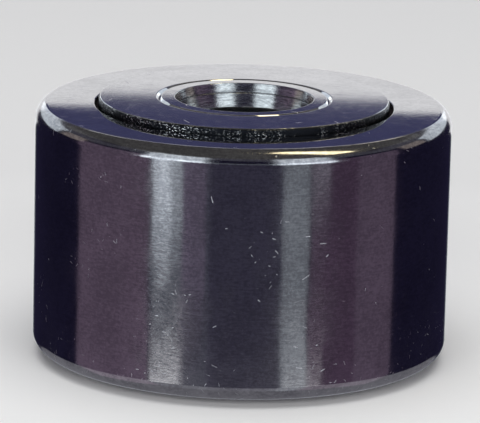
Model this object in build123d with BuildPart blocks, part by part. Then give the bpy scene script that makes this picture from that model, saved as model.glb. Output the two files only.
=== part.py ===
"""Yoke-type cam follower: a thick outer ring that rolls on caged needle rollers round an inner ring.

Two end plates pressed on the inner ring keep the outer ring in place, and two seal rings close the
needles' space. The axis of rotation is Z, and the origin is the middle of the axis.
"""
import os
from math import cos, radians, sin

from build123d import *

# Driving dimensions, in millimetres and degrees
tread_diameter = 31.75          # 1 1/4 in
tread_width = 19.05             # 3/4 in
bore_diameter = 9.525           # 3/8 in
overall_width = 20.2            # over both end faces of the inner ring

corner_radial = 0.80            # crowned corner of the tread, measured along the face
corner_axial = 1.08             # and along the tread
corner_crown = 0.19             # how far the corner's arc stands out of its chord
counterbore_radius = 11.42
counterbore_depth = 1.875
edge_break = 0.12               # small chamfer on ground and turned edges

plate_radius = 11.11
plate_thickness = 2.3
plate_edge_radius = 0.14
seat_radius = 6.50              # end plates are pressed on here
groove_leg = 0.20               # each side of the V between an end plate and the inner ring

bore_mouth_radial = 0.54
bore_mouth_axial = 1.80          # long steep lead-in
oil_hole_diameter = 1.6

needle_count = 16
needle_diameter = 2.5
needle_length = 11.8
needle_end_radius = 0.25
race_clearance = 0.01           # radial, on each side of a needle
inner_race_radius = 7.50

cage_inner_radius = 8.00
cage_outer_radius = 9.50
cage_length = 13.8
pocket_clearance = 0.06         # on each side of a needle
pocket_end_clearance = 0.10

seal_outer_radius = 10.60       # pressed in a step of the outer ring
seal_lip_clearance = 0.06       # radial, over the inner race
seal_thickness = 0.60

# Sizes that follow from them
tread_radius = tread_diameter / 2
half_tread = tread_width / 2
half_overall = overall_width / 2
bore_radius = bore_diameter / 2
plate_inner_face = half_overall - plate_thickness
counterbore_floor = half_tread - counterbore_depth
seal_floor = counterbore_floor - seal_thickness
pitch_radius = inner_race_radius + race_clearance + needle_diameter / 2
outer_race_radius = pitch_radius + needle_diameter / 2 + race_clearance
seal_inner_radius = inner_race_radius + seal_lip_clearance
pocket_width = needle_diameter + 2 * pocket_clearance
pocket_length = needle_length + 2 * pocket_end_clearance
pocket_depth = 2 * (cage_outer_radius - cage_inner_radius)


def write_part(part, name):
    """Label a finished piece and write its STEP file."""
    part.label = name
    export_step(part, f"parts/{name}.step")


os.makedirs("parts", exist_ok=True)

# Outer ring: the upper half of its section, from the race out to the tread, mirrored down
with BuildPart() as outer_ring:
    with BuildSketch(Plane.XZ):
        with BuildLine():
            Polyline(
                (outer_race_radius, 0),
                (outer_race_radius, seal_floor),
                (seal_outer_radius, seal_floor),
                (seal_outer_radius, counterbore_floor),
                (counterbore_radius, counterbore_floor),
                (counterbore_radius, half_tread - edge_break),
                (counterbore_radius + edge_break, half_tread),
                (tread_radius - corner_radial, half_tread),
            )
            SagittaArc(
                (tread_radius - corner_radial, half_tread),
                (tread_radius, half_tread - corner_axial),
                corner_crown,
            )
            Polyline(
                (tread_radius, half_tread - corner_axial),
                (tread_radius, 0),
                (outer_race_radius, 0),
            )
        make_face()
        mirror(about=Plane.XZ)
    revolve(axis=Axis.Z)
write_part(outer_ring.part, "outer_ring")

# Inner ring: wide race in the middle, a narrower seat at each end for the end plates
with BuildPart() as inner_ring:
    with BuildSketch(Plane.XZ):
        with BuildLine():
            Polyline(
                (bore_radius, 0),
                (inner_race_radius, 0),
                (inner_race_radius, plate_inner_face - edge_break),
                (inner_race_radius - edge_break, plate_inner_face),
                (seat_radius, plate_inner_face),
                (seat_radius, half_overall - groove_leg),
                (seat_radius - groove_leg, half_overall),
                (bore_radius + bore_mouth_radial, half_overall),
                (bore_radius, half_overall - bore_mouth_axial),
                (bore_radius, 0),
            )
        make_face()
        mirror(about=Plane.XZ)
    revolve(axis=Axis.Z)
    # Oil hole from the bore to the race
    with BuildSketch(Plane.YZ):
        Circle(oil_hole_diameter / 2)
    extrude(amount=tread_radius, mode=Mode.SUBTRACT)
write_part(inner_ring.part, "inner_ring")

# Upper end plate: a blanked washer with a rounded outer edge and a chamfered hole
with BuildPart() as upper_end_plate:
    with BuildSketch(Plane.XZ):
        with BuildLine():
            Polyline(
                (seat_radius, plate_inner_face),
                (plate_radius - edge_break, plate_inner_face),
                (plate_radius, plate_inner_face + edge_break),
                (plate_radius, half_overall - plate_edge_radius),
            )
            RadiusArc(
                (plate_radius, half_overall - plate_edge_radius),
                (plate_radius - plate_edge_radius, half_overall),
                -plate_edge_radius,
            )
            Polyline(
                (plate_radius - plate_edge_radius, half_overall),
                (seat_radius + groove_leg, half_overall),
                (seat_radius, half_overall - groove_leg),
                (seat_radius, plate_inner_face),
            )
        make_face()
    revolve(axis=Axis.Z)
write_part(upper_end_plate.part, "upper_end_plate")

# Lower end plate: the same washer, turned over
with BuildPart() as lower_end_plate:
    mirror(upper_end_plate.part, about=Plane.XY)
write_part(lower_end_plate.part, "lower_end_plate")

# Seal rings: flat rings pressed in the outer ring, their lips close over the inner race
for name, base in (("upper_seal_ring", seal_floor), ("lower_seal_ring", -counterbore_floor)):
    with BuildPart() as seal_ring:
        with BuildSketch(Plane.XY.offset(base)):
            Circle(seal_outer_radius)
            Circle(seal_inner_radius, mode=Mode.SUBTRACT)
        extrude(amount=seal_thickness)
    write_part(seal_ring.part, name)

# Needle cage: a sleeve with one window for each needle
with BuildPart() as needle_cage:
    with BuildSketch(Plane.XY.offset(-cage_length / 2)):
        Circle(cage_outer_radius)
        Circle(cage_inner_radius, mode=Mode.SUBTRACT)
    extrude(amount=cage_length)
    with PolarLocations(pitch_radius, needle_count):
        Box(pocket_depth, pocket_width, pocket_length, mode=Mode.SUBTRACT)
write_part(needle_cage.part, "needle_cage")

# Needles: hardened rollers with rounded ends, evenly round the pitch circle
for number in range(needle_count):
    angle = radians(number * 360 / needle_count)
    foot = (pitch_radius * cos(angle), pitch_radius * sin(angle), -needle_length / 2)
    with BuildPart() as needle:
        with BuildSketch(Plane(origin=foot)):
            Circle(needle_diameter / 2)
        extrude(amount=needle_length)
        fillet(needle.edges().filter_by(GeomType.CIRCLE), needle_end_radius)
    write_part(needle.part, f"needle_{number + 1:02d}")

print(f"pitch radius {pitch_radius:.3f}, outer race radius {outer_race_radius:.3f}")
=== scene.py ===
"""A yoke-type cam follower, built up in the order it is assembled on a bench."""
from math import asin, cos, hypot, pi, radians, sin, tan

import bmesh
import bpy
from mathutils import Matrix, Vector


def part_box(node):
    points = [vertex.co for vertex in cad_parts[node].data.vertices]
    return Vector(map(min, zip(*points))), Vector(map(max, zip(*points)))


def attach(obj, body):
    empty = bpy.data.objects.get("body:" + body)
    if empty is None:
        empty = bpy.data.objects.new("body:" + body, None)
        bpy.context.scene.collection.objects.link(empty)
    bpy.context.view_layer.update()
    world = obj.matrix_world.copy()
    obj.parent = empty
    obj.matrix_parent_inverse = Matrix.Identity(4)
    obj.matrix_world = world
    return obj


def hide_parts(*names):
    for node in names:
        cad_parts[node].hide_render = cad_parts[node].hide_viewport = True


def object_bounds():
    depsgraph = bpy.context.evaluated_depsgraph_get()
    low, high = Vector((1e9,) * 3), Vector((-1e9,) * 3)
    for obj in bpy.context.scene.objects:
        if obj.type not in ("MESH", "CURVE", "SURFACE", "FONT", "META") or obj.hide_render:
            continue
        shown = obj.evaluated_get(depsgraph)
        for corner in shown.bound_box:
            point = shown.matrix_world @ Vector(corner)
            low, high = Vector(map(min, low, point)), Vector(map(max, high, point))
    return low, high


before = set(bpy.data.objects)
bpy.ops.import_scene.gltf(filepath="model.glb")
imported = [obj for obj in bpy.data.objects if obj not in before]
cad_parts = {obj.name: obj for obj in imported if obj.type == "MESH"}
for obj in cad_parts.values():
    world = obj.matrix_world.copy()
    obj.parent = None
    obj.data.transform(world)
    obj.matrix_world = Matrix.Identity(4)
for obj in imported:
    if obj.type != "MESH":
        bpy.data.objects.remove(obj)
cad_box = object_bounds()

# ---------------------------------------------------------------------------------------------
# Inner ring. A hardened bearing-steel ring, turned all over and ground on its race and end faces.
# Its bore keeps the reamer's rings, and a long steep lead-in guides the pin. The yoke clamps it.
# ---------------------------------------------------------------------------------------------
MM = 0.001
RING_STEPS = 256
BREAK_ANGLE = radians(12)
BREAK_SEGMENTS = 3
SMOOTH_ANGLE = radians(50)
HOLD_MARGIN = 0.02
LONG_RUN_SHARE = 0.25
MERGE_DISTANCE = 0.001
TURNED_BREAK = 0.03
SEAT_RADIUS = 6.50
BORE_RADIUS = 4.7625
MOUTH_RADIAL = 0.54
MOUTH_AXIAL = 1.80
GROOVE_LEG = 0.20
OIL_HOLE_RADIUS = 0.80
OIL_HOLE_LENGTH = 5.0
OIL_HOLE_SEGMENTS = 48
REAMER_STOP = 0.72


def size_of(node):
    """A turned node's outer radius, lowest and highest height, in millimetres."""
    low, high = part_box(node)
    return high[0] / MM, low[2] / MM, high[2] / MM


def both_ends(upper):
    """An outline's upper half, from the bore over the top to the outside, and its mirror image."""
    return upper + [(radius, -height) for radius, height in reversed(upper)]


def apply_stack(piece):
    """Make what the modifiers give the piece's own mesh."""
    graph = bpy.context.evaluated_depsgraph_get()
    result = bpy.data.meshes.new_from_object(piece.evaluated_get(graph))
    piece.modifiers.clear()
    piece.data = result


def held(outline, margin):
    """The outline with a point beside each end of its long runs, so that flats shade flat."""
    points = []
    for start, end in zip(outline, outline[1:] + outline[:1]):
        points.append(start)
        share = margin / hypot(end[0] - start[0], end[1] - start[1])
        if share < LONG_RUN_SHARE:
            for part in (share, 1 - share):
                points.append(tuple(a + (b - a) * part for a, b in zip(start, end)))
    return points


def turned(name, outline, steps, break_width):
    """A closed (radius, height) outline in mm, top to bottom outside, turned about Z.

    Each corner sharper than BREAK_ANGLE becomes a rounded edge, break_width mm wide.
    """
    mesh = bpy.data.meshes.new(name)
    outline = held(outline, break_width + HOLD_MARGIN)
    corners = [(radius * MM, 0, height * MM) for radius, height in outline]
    mesh.from_pydata(corners, [(i, (i + 1) % len(corners)) for i in range(len(corners))], [])
    piece = bpy.data.objects.new(name, mesh)
    bpy.context.collection.objects.link(piece)
    screw = piece.modifiers.new("turn", "SCREW")
    screw.steps = steps
    screw.render_steps = steps
    screw.use_merge_vertices = True
    screw.merge_threshold = MERGE_DISTANCE * MM
    bevel = piece.modifiers.new("broken edges", "BEVEL")
    bevel.width = break_width * MM
    bevel.segments = BREAK_SEGMENTS
    bevel.limit_method = "ANGLE"
    bevel.angle_limit = BREAK_ANGLE
    return piece


class Shade:
    """An output of a shader node; arithmetic on it adds Math nodes beside it."""

    def __init__(self, tree, socket=None):
        self.tree = tree
        self.socket = socket

    def node(self, kind, settings, inputs, output=0):
        """Add a node: first its settings, then the values or links of its sockets."""
        made = self.tree.nodes.new("ShaderNode" + kind)
        for name, value in settings.items():
            setattr(made, name, value)
        for key, value in inputs.items():
            if isinstance(value, Shade):
                self.tree.links.new(value.socket, made.inputs[key])
            else:
                made.inputs[key].default_value = value
        return Shade(self.tree, made.outputs[output] if made.outputs else None)

    def maths(self, operation, *values):
        """A Math node on values, which are numbers or other outputs."""
        return self.node("Math", {"operation": operation}, dict(enumerate(values)))

    def __add__(self, other):
        return self.maths("ADD", self, other)

    def __sub__(self, other):
        return self.maths("SUBTRACT", self, other)

    def __rsub__(self, other):
        return self.maths("SUBTRACT", other, self)

    def __mul__(self, other):
        return self.maths("MULTIPLY", self, other)

    def __abs__(self):
        return self.maths("ABSOLUTE", self)

    __radd__ = __add__
    __rmul__ = __mul__

    def ramp(self, low, high):
        """0 where the value is below low, 1 above high, and a soft change between."""
        return self.node(
            "MapRange",
            {"interpolation_type": "SMOOTHSTEP"},
            {"Value": self, "From Min": low, "From Max": high},
        )

    def fade(self, near, far):
        """1 where the value is below near, 0 above far."""
        return 1 - self.ramp(near, far)

    def mix(self, first, second):
        """The first colour where the value is 0 and the second where it is 1."""
        inputs = {0: self, 6: first, 7: second}
        return self.node("Mix", {"data_type": "RGBA"}, inputs, 2)

    def point(self, x, y, z=0.0):
        """A place made of three numbers, such as a position stretched along one way."""
        return self.node("CombineXYZ", {}, {0: x, 1: y, 2: z})

    def noise(self, position, scale, detail=2.0, roughness=0.5):
        """Smooth noise from 0 to 1 at a position, which may be stretched first."""
        inputs = {"Vector": position, "Scale": scale, "Detail": detail, "Roughness": roughness}
        return self.node("TexNoise", {}, inputs)

    def strokes(self, u, v, spacing, share, length, width):
        """1 on short bent scratches at random angles, on a share of the patches of a surface.

        u and v run along the surface and are in mm, as spacing, length and width are.
        """
        bend = 0.15
        cells = {"Vector": self.point(u, v), "Scale": 1 / spacing}
        chance = self.node("TexVoronoi", {"voronoi_dimensions": "2D"}, cells, "Color")
        centre = self.node("TexVoronoi", {"voronoi_dimensions": "2D"}, cells, "Position")
        red, green, blue = (self.node("SeparateColor", {}, {0: chance}, i) for i in range(3))
        across, up = (self.node("SeparateXYZ", {}, {0: centre}, axis) for axis in "XY")
        turn = red * (2 * pi)
        sine, cosine = turn.maths("SINE", turn), turn.maths("COSINE", turn)
        along = (u - across) * cosine + (v - up) * sine
        beside = (v - up) * cosine - (u - across) * sine + along * along * bend
        ends = (abs(along) - green * length).fade(-0.5 * length, 0.0)
        return abs(beside).fade(0.3 * width, width) * ends * blue.ramp(1 - share, 1.02 - share)

    def pits(self, position, spacing, share, size):
        """1 in small round pits, in a share of the cells of space."""
        cells = {"Vector": position, "Scale": 1 / spacing}
        away = self.node("TexVoronoi", {}, cells, "Distance")
        chance = self.node("TexVoronoi", {}, cells, "Color")
        blue = self.node("SeparateColor", {}, {0: chance}, 2)
        return away.fade(0.4 * size / spacing, size / spacing) * blue.ramp(1 - share, 1.02 - share)


def new_material(name):
    """A named material without nodes, and the Shade that adds them."""
    material = bpy.data.materials.new(name)
    material.use_nodes = True
    material.node_tree.nodes.clear()
    return material, Shade(material.node_tree)


def turned_place(shade):
    """Where a point is on a turned piece, in mm: its position, x, y, height and radius."""
    position = shade.node("TexCoord", {}, {}, "Object")
    position = shade.node("VectorMath", {"operation": "SCALE"}, {0: position, "Scale": 1 / MM})
    x, y, z = (shade.node("SeparateXYZ", {}, {0: position}, axis) for axis in "XYZ")
    return position, x, y, z, shade.maths("SQRT", x * x + y * y)


def finish_metal(shade, colour, roughness, relief):
    """The metal shader that ends a material; relief is the surface's height in mm."""
    bump = shade.node("Bump", {}, {"Strength": 1.0, "Distance": MM, "Height": relief})
    inputs = {"Base Color": colour, "Metallic": 1.0, "Roughness": roughness, "Normal": bump}
    metal = shade.node("BsdfPrincipled", {}, inputs)
    shade.node("OutputMaterial", {}, {"Surface": metal})


def ground_face(shade, position, x, y, dark, light):
    """A ground end face: satin mottling, hazy patches and stray scratches.

    Gives the colour, the roughness and the height in mm.
    """
    cloud = shade.noise(position, 0.35, 3.0, 0.6)
    mottle = shade.noise(position, 3.0, 4.0, 0.75)
    haze = shade.noise(position, 0.9, 4.0, 0.7).ramp(0.48, 0.75)
    marks = shade.strokes(x, y, 1.6, 0.30, 0.5, 0.030)
    marks = shade.maths("MAXIMUM", marks, shade.strokes(y + 7.3, x - 2.1, 2.9, 0.25, 0.9, 0.025))
    colour = (cloud * 0.45 + mottle * 0.55).ramp(0.35, 0.65).mix(dark, light)
    colour = marks.mix(colour, (0.85, 0.85, 0.87, 1))
    roughness = 0.035 + mottle * 0.020 + haze * 0.040 + marks * 0.30
    return colour, roughness, mottle * 0.0006 - marks * 0.002


def inner_ring_steel():
    """Ground faces and race; the bore shows the reamer's rings and the groove where it stopped."""
    material, shade = new_material("inner_ring_steel")
    position, x, y, height, radius = turned_place(shade)
    bore = radius.fade(BORE_RADIUS + MOUTH_RADIAL, BORE_RADIUS + MOUTH_RADIAL + 0.02)
    reamed = shade.noise(shade.point(x * 0.5, y * 0.5, height * 5), 1.0, 4.0, 0.75)
    stop = abs(abs(height) - (ring_top - REAMER_STOP)).fade(0.02, 0.06)
    torn = shade.noise(shade.point(x * 3, y * 3, height * 9), 1.0, 3.0, 0.7)
    face_colour, face_roughness, face_relief = ground_face(
        shade, position, x, y, (0.50, 0.50, 0.51, 1), (0.62, 0.62, 0.63, 1)
    )
    bore_colour = (reamed * 0.6 + torn * 0.4 - stop * 0.3).ramp(0.35, 0.65).mix(
        (0.34, 0.35, 0.36, 1), (0.76, 0.78, 0.78, 1)
    )
    colour = bore.mix(face_colour, bore_colour)
    roughness = bore * (0.11 + torn * 0.10) + (1 - bore) * face_roughness
    relief = bore * (reamed * 0.012 + torn * 0.004 - stop * 0.03) + (1 - bore) * face_relief
    finish_metal(shade, colour, roughness, relief)
    return material


race_radius, _, ring_top = size_of("inner_ring")
plate_radius, shoulder, plate_top = size_of("upper_end_plate")
inner_ring = turned(
    "turned_inner_ring",
    both_ends([
        (BORE_RADIUS, 2 * OIL_HOLE_RADIUS),
        (BORE_RADIUS, ring_top - MOUTH_AXIAL),
        (BORE_RADIUS + MOUTH_RADIAL, ring_top),
        (SEAT_RADIUS - GROOVE_LEG, ring_top),
        (SEAT_RADIUS, ring_top - GROOVE_LEG),
        (SEAT_RADIUS, shoulder),
        (race_radius, shoulder),
        (race_radius, 2 * OIL_HOLE_RADIUS),
    ]),
    RING_STEPS,
    TURNED_BREAK,
)
drill_mesh = bpy.data.meshes.new("oil_hole_drill")
drill_shape = bmesh.new()
wall_middle = Matrix.Translation(((BORE_RADIUS + race_radius) / 2 * MM, 0, 0))
bmesh.ops.create_cone(
    drill_shape,
    cap_ends=True,
    segments=OIL_HOLE_SEGMENTS,
    radius1=OIL_HOLE_RADIUS * MM,
    radius2=OIL_HOLE_RADIUS * MM,
    depth=OIL_HOLE_LENGTH * MM,
    matrix=wall_middle @ Matrix.Rotation(pi / 2, 4, "Y"),
)
drill_shape.to_mesh(drill_mesh)
drill_shape.free()
drill = bpy.data.objects.new("oil_hole_drill", drill_mesh)
bpy.context.collection.objects.link(drill)
hole = inner_ring.modifiers.new("oil hole", "BOOLEAN")
hole.object = drill
apply_stack(inner_ring)
bpy.data.objects.remove(drill)
inner_ring.data.set_sharp_from_angle(angle=SMOOTH_ANGLE)
inner_ring.data.materials.clear()
inner_ring.data.materials.append(inner_ring_steel())
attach(inner_ring, "inner_ring_and_plates")
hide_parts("inner_ring")

# ---------------------------------------------------------------------------------------------
# Needles and cage. Sixteen hardened needle rollers, ground and lapped, kept apart by the windows
# of a sleeve that is machined from steel tube and phosphated. Grease darkens the cage's pockets.
# ---------------------------------------------------------------------------------------------


def needle_steel():
    """Lapped steel with brown grease stains and a few pits."""
    material, shade = new_material("needle_steel")
    position, x, y, height, _ = turned_place(shade)
    lapped = shade.noise(shade.point(x * 0.8, y * 0.8, height * 7), 1.0, 4.0, 0.7)
    stain = shade.noise(position, 0.7, 4.0, 0.65).ramp(0.45, 0.75)
    marks = shade.pits(position, 0.8, 0.15, 0.07)
    colour = stain.mix((0.64, 0.64, 0.65, 1), (0.50, 0.47, 0.42, 1))
    colour = marks.mix(colour, (0.25, 0.24, 0.23, 1))
    roughness = 0.12 + lapped * 0.08 + stain * 0.10
    finish_metal(shade, colour, roughness, lapped * 0.001 - marks * 0.01)
    return material


def cage_steel():
    """Dark phosphate crystals over turning cuts, wet with grease in patches."""
    material, shade = new_material("cage_steel")
    position, x, y, height, _ = turned_place(shade)
    crystals = shade.noise(position, 9.0, 4.0, 0.75)
    cuts = shade.noise(shade.point(x * 0.4, y * 0.4, height * 6), 1.0, 3.0, 0.6)
    grease = shade.noise(position, 0.4, 4.0, 0.6).ramp(0.45, 0.65)
    colour = crystals.ramp(0.3, 0.7).mix((0.10, 0.10, 0.10, 1), (0.22, 0.22, 0.21, 1))
    colour = grease.mix(colour, (0.11, 0.09, 0.06, 1))
    roughness = 0.52 + crystals * 0.18 - grease * 0.25
    finish_metal(shade, colour, roughness, crystals * 0.006 + cuts * 0.006)
    return material


needle_finish = needle_steel()
cage_finish = cage_steel()
for node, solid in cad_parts.items():
    if node.startswith("needle_"):
        for slot in solid.material_slots:
            slot.material = cage_finish if node == "needle_cage" else needle_finish

# ---------------------------------------------------------------------------------------------
# Seal rings. Flat rings cut from dark moulded polymer, pressed in a step at each end of the outer
# ring. Their lips run over the inner race and keep the grease in and the dust out.
# ---------------------------------------------------------------------------------------------


def seal_polymer():
    """Matt black polymer with a moulded skin, dust and a polished lip."""
    material, shade = new_material("seal_polymer")
    position, _, _, _, radius = turned_place(shade)
    skin = shade.noise(position, 7.0, 4.0, 0.7)
    rings = shade.noise(shade.point(radius * 6, 0.0), 1.0, 3.0, 0.6)
    dust = shade.noise(position, 1.2, 4.0, 0.7).ramp(0.5, 0.75)
    lip = radius.fade(race_radius + 0.1, race_radius + 0.5)
    colour = skin.ramp(0.3, 0.7).mix((0.012, 0.012, 0.013, 1), (0.028, 0.027, 0.026, 1))
    colour = (dust * 0.5).mix(colour, (0.10, 0.095, 0.085, 1))
    roughness = 0.48 + skin * 0.2 + dust * 0.12 - lip * 0.2
    relief = skin * 0.004 + rings * 0.006
    bump = shade.node("Bump", {}, {"Strength": 1.0, "Distance": MM, "Height": relief})
    inputs = {"Base Color": colour, "Roughness": roughness, "Normal": bump}
    polymer = shade.node("BsdfPrincipled", {}, inputs)
    shade.node("OutputMaterial", {}, {"Surface": polymer})
    return material


seal_finish = seal_polymer()
for node in ("upper_seal_ring", "lower_seal_ring"):
    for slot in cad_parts[node].material_slots:
        slot.material = seal_finish

# ---------------------------------------------------------------------------------------------
# Outer ring. The thick ring that rolls on the cam: through-hardened steel, its tread and faces
# ground, its corners crowned and polished, and a counterbore at each end for the end plate.
# ---------------------------------------------------------------------------------------------
CORNER_RADIAL = 0.80
CORNER_AXIAL = 1.08
CORNER_CROWN = 0.19
CORNER_POINTS = 9
TREAD_BREAK = 0.05
COUNTERBORE_RADIUS = 11.42
COUNTERBORE_DEPTH = 1.875
SEAL_STEP_RADIUS = 10.60
SEAL_STEP_DEPTH = 0.60
OUTER_RACE_RADIUS = 10.02


def arc(start, end, crown, count):
    """Evenly spaced points of the arc from start to end that rises crown above its chord."""
    chord = (end[0] - start[0], end[1] - start[1])
    length = hypot(*chord)
    along = (chord[0] / length, chord[1] / length)
    out = (-along[1], along[0])
    radius = (length * length / 4 + crown * crown) / (2 * crown)
    half_turn = asin(length / 2 / radius)
    middle = ((start[0] + end[0]) / 2, (start[1] + end[1]) / 2)
    points = []
    for index in range(count):
        turn = half_turn * (2 * index / (count - 1) - 1)
        forth = radius * sin(turn)
        rise = radius * cos(turn) - radius + crown
        points.append((
            middle[0] + along[0] * forth + out[0] * rise,
            middle[1] + along[1] * forth + out[1] * rise,
        ))
    return points


def ground_ring_steel():
    """The tread's grinding lines and chatter, smears, scratches, nicks, and wear with a painted
    sheen near its foot.

    The corners are smoother, with nicks along their lower edge, and the faces are ground satin.
    """
    material, shade = new_material("ground_ring_steel")
    position, x, y, height, radius = turned_place(shade)
    round_it = shade.maths("ARCTAN2", x, y * -1) * tread_radius
    reach = abs(height)
    face = reach.ramp(tread_top - 0.03, tread_top - 0.01) * radius.ramp(
        COUNTERBORE_RADIUS - 0.04, COUNTERBORE_RADIUS
    )
    edge = tread_top - CORNER_AXIAL
    corner = reach.ramp(edge - 0.03, edge + 0.03) * (1 - face)
    rim_zone = reach.ramp(edge, edge + 0.05) * reach.fade(edge + 0.35, edge + 0.55)
    lines = shade.noise(shade.point(x * 1.2, y * 1.2, (height - radius) * 8), 1.0, 4.0, 0.7)
    grain = shade.noise(position, 4.5, 3.0, 0.7)
    cloud = shade.noise(position, 0.22, 4.0, 0.6)
    smear = shade.noise(shade.point(x * 0.5, y * 0.5, height * 0.22), 1.0, 4.0, 0.62)
    smear = smear.ramp(0.42, 0.70)
    wave = shade.noise(shade.point(x * 0.35, y * 0.35, height * 0.12), 1.0, 2.0)
    marks = shade.strokes(round_it, height, 3.1, 0.25, 0.40, 0.035)
    short_marks = shade.strokes(height + 3.7, round_it, 2.3, 0.14, 0.25, 0.04)
    marks = shade.maths("MAXIMUM", marks, short_marks)
    specks = shade.pits(position, 1.3, 0.10, 0.09)
    nicks = shade.pits(position, 0.7, 0.30, 0.11) * rim_zone
    # Patches near the tread's foot: real scuffs are laid in them, and they also carry a painted
    # sheen
    foot_wear_and_sheen = (height * -1).ramp(2.5, 8.2) * shade.noise(position, 0.28, 3.0, 0.6).ramp(0.38, 0.62)
    handled = shade.noise(position, 0.24, 2.0, 0.5).ramp(0.57, 0.66)
    worn = shade.maths("MAXIMUM", foot_wear_and_sheen, handled)
    scuffs = shade.strokes(round_it, height + 1.3, 0.62, 0.75, 0.24, 0.032) * worn
    hurt = shade.maths("MAXIMUM", marks, shade.maths("MAXIMUM", specks, nicks))
    hurt = shade.maths("MAXIMUM", hurt, scuffs * 0.7)
    chatter = shade.noise(shade.point(x * 2.2, y * 2.2, height * 7), 1.0, 2.0, 0.6)
    chatter = (chatter - 0.5) * (0.35 + smear)
    tone = (cloud * 0.30 + lines * 0.30 + grain * 0.40 + chatter * 0.35).ramp(0.40, 0.60)
    tread_colour = tone.mix((0.31, 0.305, 0.325, 1), (0.49, 0.485, 0.50, 1))
    tread_colour = (smear * 0.35).mix(tread_colour, (0.30, 0.295, 0.31, 1))
    tread_colour = hurt.mix(tread_colour, (0.80, 0.80, 0.82, 1))
    # Painted sheen: the colour lightens in these patches towards the foot, standing for the pale
    # ground mirrored there
    tread_colour = (foot_wear_and_sheen * 0.4).mix(tread_colour, (0.62, 0.62, 0.63, 1))
    tread_roughness = 0.085 + lines * 0.035 + smear * 0.05 + hurt * 0.35
    tread_relief = lines * 0.0006 + chatter * 0.0022 + wave * 0.022 + grain * 0.0005 - hurt * 0.008
    face_colour, face_roughness, face_relief = ground_face(
        shade, position, x, y, (0.46, 0.46, 0.47, 1), (0.60, 0.60, 0.61, 1)
    )
    colour = face.mix(tread_colour, face_colour)
    roughness = face * (face_roughness - 0.012) + (1 - face) * (tread_roughness + corner * 0.02)
    relief = face * face_relief + (1 - face) * tread_relief
    finish_metal(shade, colour, roughness, relief)
    return material


tread_radius, _, tread_top = size_of("outer_ring")
face_edge = (tread_radius - CORNER_RADIAL, tread_top)
tread_edge = (tread_radius, tread_top - CORNER_AXIAL)
floor_height = tread_top - COUNTERBORE_DEPTH
outer_ring = turned(
    "ground_outer_ring",
    both_ends([
        (OUTER_RACE_RADIUS, floor_height - SEAL_STEP_DEPTH),
        (SEAL_STEP_RADIUS, floor_height - SEAL_STEP_DEPTH),
        (SEAL_STEP_RADIUS, floor_height),
        (COUNTERBORE_RADIUS, floor_height),
        (COUNTERBORE_RADIUS, tread_top),
        *arc(face_edge, tread_edge, CORNER_CROWN, CORNER_POINTS),
    ]),
    RING_STEPS,
    TREAD_BREAK,
)
outer_ring.data.materials.append(ground_ring_steel())
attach(outer_ring, "outer_ring_body")
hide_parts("outer_ring")

# ---------------------------------------------------------------------------------------------
# End plates. Washers blanked from steel strip and hardened, their flat faces ground with the ring.
# The rim is left torn, as the press sheared it. Each one is pressed on a seat of the inner ring.
# ---------------------------------------------------------------------------------------------
PLATE_STEPS = 720
RIM_ROUND = 0.14
RIM_ROWS = 14
RIM_REACH = 0.01
TEAR_SIZE = 0.30
TEAR_DEPTH = 0.07


def plate_steel():
    """Ground faces, and a nearly black torn rim with bare bright flecks."""
    material, shade = new_material("plate_steel")
    position, x, y, height, radius = turned_place(shade)
    rim = radius.ramp(plate_radius - 0.13, plate_radius - 0.09)
    tear = shade.noise(shade.point(x * 4, y * 4, height * 7), 1.0, 5.0, 0.8)
    bare = shade.noise(position, 0.55, 3.0, 0.6).ramp(0.42, 0.60)
    flecks = shade.noise(shade.point(x * 3, y * 3, height * 4), 1.7, 3.0, 0.7)
    flecks = flecks.ramp(0.54, 0.60) * bare
    rim_colour = flecks.mix((0.022, 0.024, 0.030, 1), (0.78, 0.80, 0.80, 1))
    face_colour, face_roughness, face_relief = ground_face(
        shade, position, x, y, (0.50, 0.50, 0.51, 1), (0.62, 0.62, 0.63, 1)
    )
    colour = rim.mix(face_colour, rim_colour)
    roughness = rim * (0.32 - flecks * 0.14) + (1 - rim) * (face_roughness + 0.015)
    relief = rim * tear * 0.045 + (1 - rim) * face_relief
    finish_metal(shade, colour, roughness, relief)
    return material


plate_finish = plate_steel()
tear_pattern = bpy.data.textures.new("tears", "CLOUDS")
tear_pattern.noise_scale = TEAR_SIZE * MM
tear_pattern.noise_depth = 2
for side, node in ((1, "upper_end_plate"), (-1, "lower_end_plate")):
    rim_height = plate_top - RIM_ROUND
    outline = [
        (SEAT_RADIUS, shoulder),
        (SEAT_RADIUS, plate_top - GROOVE_LEG),
        (SEAT_RADIUS + GROOVE_LEG, plate_top),
        (plate_radius - RIM_ROUND, plate_top),
    ]
    for row in range(RIM_ROWS + 1):
        outline.append((plate_radius, rim_height + (shoulder - rim_height) * row / RIM_ROWS))
    if side < 0:
        outline = [(radius, -height) for radius, height in reversed(outline)]
    plate = turned("blanked_" + node, outline, PLATE_STEPS, TURNED_BREAK)
    rim_from = (plate_radius - RIM_REACH) * MM
    rows = [corner.index for corner in plate.data.vertices if corner.co.x > rim_from]
    plate.vertex_groups.new(name="sheared rim").add(rows, 1.0, "REPLACE")
    torn = plate.modifiers.new("torn rim", "DISPLACE")
    torn.texture = tear_pattern
    torn.texture_coords = "LOCAL"
    torn.vertex_group = "sheared rim"
    torn.mid_level = 0.0
    torn.strength = -TEAR_DEPTH * MM
    plate.data.materials.append(plate_finish)
    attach(plate, "inner_ring_and_plates")
    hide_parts(node)

# ---------------------------------------------------------------------------------------------
# Studio. A pale floor under the lower end plate with soft light on it, and windows, dim walls and
# glowing panels round the ring, which only the metal mirrors: they stand on the tread as bands.
# ---------------------------------------------------------------------------------------------
FLOOR_SIZE = 6.0
VIEW_ELEVATION = radians(13.66)
VIEW_DISTANCE = 336.5 * MM
VIEW_ROLL = radians(1.375)
VIEW_AIM = Vector((-0.119, 0, 1.127)) * MM
LENS = 328.9
SENSOR_WIDTH = 36
CLIP_START = 0.01

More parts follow.
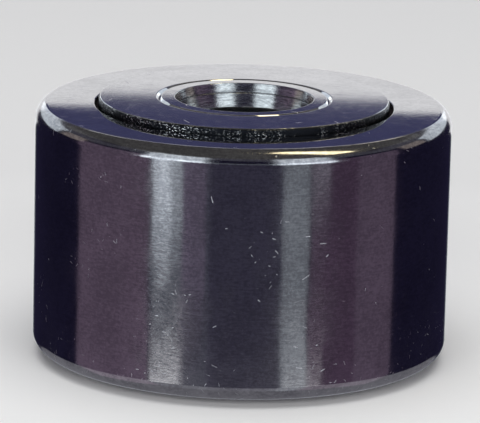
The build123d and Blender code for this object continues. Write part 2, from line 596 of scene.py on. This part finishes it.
floor_mesh = bpy.data.meshes.new("floor")
half = FLOOR_SIZE / 2
ground = cad_box[0][2]
signs = ((-1, -1), (1, -1), (1, 1), (-1, 1))
floor_corners = [(x * half, y * half, ground) for x, y in signs]
floor_mesh.from_pydata(floor_corners, [], [(0, 1, 2, 3)])
floor = bpy.data.objects.new("floor", floor_mesh)
bpy.context.collection.objects.link(floor)
floor_material, floor_shade = new_material("floor_paint")
pale = {"Base Color": (0.8, 0.8, 0.79, 1), "Roughness": 0.7}
paint = floor_shade.node("BsdfPrincipled", {}, pale)
floor_shade.node("OutputMaterial", {}, {"Surface": paint})
floor_mesh.materials.append(floor_material)
floor.visible_glossy = False

world = bpy.data.worlds.new("studio")
world.use_nodes = True
world.node_tree.nodes.clear()
air = Shade(world.node_tree)
seen = air.node("LightPath", {}, {}, "Is Camera Ray")
air_colour = seen.mix((0.015, 0.013, 0.034, 1), (0.75, 0.75, 0.75, 1))
walls = air.node("Background", {}, {"Color": air_colour})
air.node("OutputWorld", {}, {"Surface": walls})
bpy.context.scene.world = world


def panel(name, place, aim, width, height, radiance, tint=(1, 1, 1), lights="metal"):
    """A flat soft light that lights either the metal or the floor, and that no camera sees."""
    light = bpy.data.lights.new(name, "AREA")
    light.shape = "RECTANGLE"
    light.size = width
    light.size_y = height
    light.energy = radiance * pi * width * height
    light.color = tint
    lamp = bpy.data.objects.new(name, light)
    lamp.location = place
    lamp.rotation_euler = (Vector(aim) - Vector(place)).to_track_quat("-Z", "Y").to_euler()
    lamp.visible_camera = False
    lamp.visible_glossy = lights == "metal"
    lamp.visible_diffuse = lights == "floor"
    bpy.context.collection.objects.link(lamp)


def upright(name, start, end, distance, low, high, radiance, tint=(1, 1, 1)):
    """A panel that stands from azimuth start to end, in degrees to the right of the camera.

    distance is from the axis, and low and high are heights over the ring's middle, in metres.
    """
    turn = radians((start + end) / 2)
    width = 2 * distance * tan(radians((end - start) / 2))
    middle = (low + high) / 2
    place = (distance * sin(turn), -distance * cos(turn), middle)
    panel(name, place, (0, 0, middle), width, high - low, radiance, tint)


NEAR = 0.3
ROUND = 0.5
WALL = 0.6
FAR = 0.8
MAUVE = (1.0, 0.72, 0.94)
PLUM = (1.0, 0.60, 0.86)
COOL = (0.86, 0.95, 1.0)
BEIGE = (1.0, 0.86, 0.74)

# Light on the floor, and the ceiling that the corner and the faces mirror
panel("overhead", (0, -0.1, 0.9), (0, 0, 0), 0.9, 0.9, 3.0, lights="floor")
panel("fill", (0, -0.8, 0.32), (0, 0, 0), 1.2, 0.4, 5.0, lights="floor")
panel("ceiling", (0, 0, 1.0), (0, 0, 0), 2.6, 2.6, 0.085, (1.0, 1.0, 0.74))

# Windows: the bright lines on the upper corner and the bands in the bore
upright("left_low_window", -56, -20, ROUND, 0.0, 0.085, 2.5, COOL)
upright("left_window", -55, -20, ROUND, 0.085, 0.36, 1.15, COOL)
upright("right_low_window", 19, 51, ROUND, 0.0, 0.085, 2.5, COOL)
upright("right_window", 19, 50, ROUND, 0.085, 0.36, 1.15, COOL)

# Bands and dim walls that the tread mirrors
upright("front_haze", -18, 22.5, WALL, -0.6, 0.0, 0.054, (0.80, 0.77, 1.0))
upright("left_band", -48.5, -38, NEAR, -0.0660, 0.0, 0.90, COOL)
upright("left_soft_band", -48.5, -32, NEAR, -0.0692, 0.0, 0.52, COOL)
upright("left_inner_wall", -32, -19, NEAR, -0.0790, 0.0, 0.11, (0.95, 0.66, 1.0))
upright("left_glow", -50, -17, ROUND, -0.5, 0.0, 0.075, (0.82, 0.88, 1.0))
upright("right_band", 22.5, 37, ROUND, -0.5, 0.0, 0.31, COOL)
upright("right_upper_band", 38, 48.5, NEAR, -0.0615, 0.0, 0.22, COOL)
upright("left_wall", -100, -51, WALL, -0.6, 0.18, 0.15, MAUVE)
upright("right_dark_wall", 38, 66, WALL, -0.6, 0.18, 0.085, PLUM)
upright("right_wall", 66, 92, WALL, -0.6, 0.18, 0.13, MAUVE)

# Sides and back, a low glow in front and soft walls above, which the corner and the faces mirror
upright("left_side", -166, -122, ROUND, 0.05, 0.26, 0.95, COOL)
upright("right_side", 122, 166, ROUND, 0.05, 0.26, 0.95, COOL)
upright("front_low_glow", -20, 19, ROUND, 0.0, 0.05, 0.17, COOL)
for start in range(-30, 330, 60):
    upright("soft_wall", start, start + 60, FAR, 0.35, 0.63, 0.08, (0.96, 0.97, 1.0))
upright("left_beige", -118, -98, ROUND, 0.07, 0.22, 0.30, BEIGE)
upright("right_beige", 98, 118, ROUND, 0.07, 0.22, 0.30, BEIGE)
upright("left_back_lamp", -178, -150, ROUND, 0.40, 0.62, 0.7)
upright("right_back_lamp", 150, 178, ROUND, 0.40, 0.62, 1.1, (1.0, 0.94, 0.82))

# The pale ground that the foot of the tread and the lower corner mirror
upright("left_low_glow", -49, -31, NEAR, -0.108, -0.0920, 1.6)
upright("centre_low_glow", -35, 24, NEAR, -0.108, -0.0905, 0.07)
upright("right_low_glow", 24, 46, NEAR, -0.108, -0.0920, 0.80)
panel("pale_ground", (0, 0, -0.33), (0, 0, 1), 1.5, 1.5, 0.21, (0.97, 0.97, 1.0))
upright("back_glow", 166, 194, ROUND, -0.5, -0.02, 0.22, COOL)

# Light and shade behind the ring on its end faces, and a warm lamp on the corner
panel("back_light", (0, 0.06, 0.0085), (0, 0, 0.0085), 0.08, 0.0290, 0.87)
panel("back_shade", (0, 0.06, 0.0480), (0, 0, 0.0480), 0.08, 0.050, 0.10, (0.42, 0.46, 1.0))
panel("warm_lamp", (0.225, -0.08, 0.46), (0, 0, 0), 0.12, 0.30, 4.2, (1.0, 0.86, 0.52))

camera_data = bpy.data.cameras.new("camera")
camera_data.lens = LENS
camera_data.sensor_width = SENSOR_WIDTH
camera_data.clip_start = CLIP_START
camera = bpy.data.objects.new("camera", camera_data)
backwards = Vector((0, -cos(VIEW_ELEVATION), sin(VIEW_ELEVATION)))
camera.location = VIEW_AIM + backwards * VIEW_DISTANCE
camera.rotation_euler = (
    backwards.to_track_quat("Z", "Y").to_matrix() @ Matrix.Rotation(VIEW_ROLL, 3, "Z")
).to_euler()
bpy.context.collection.objects.link(camera)
bpy.context.scene.camera = camera
bpy.context.scene.view_settings.view_transform = "Standard"
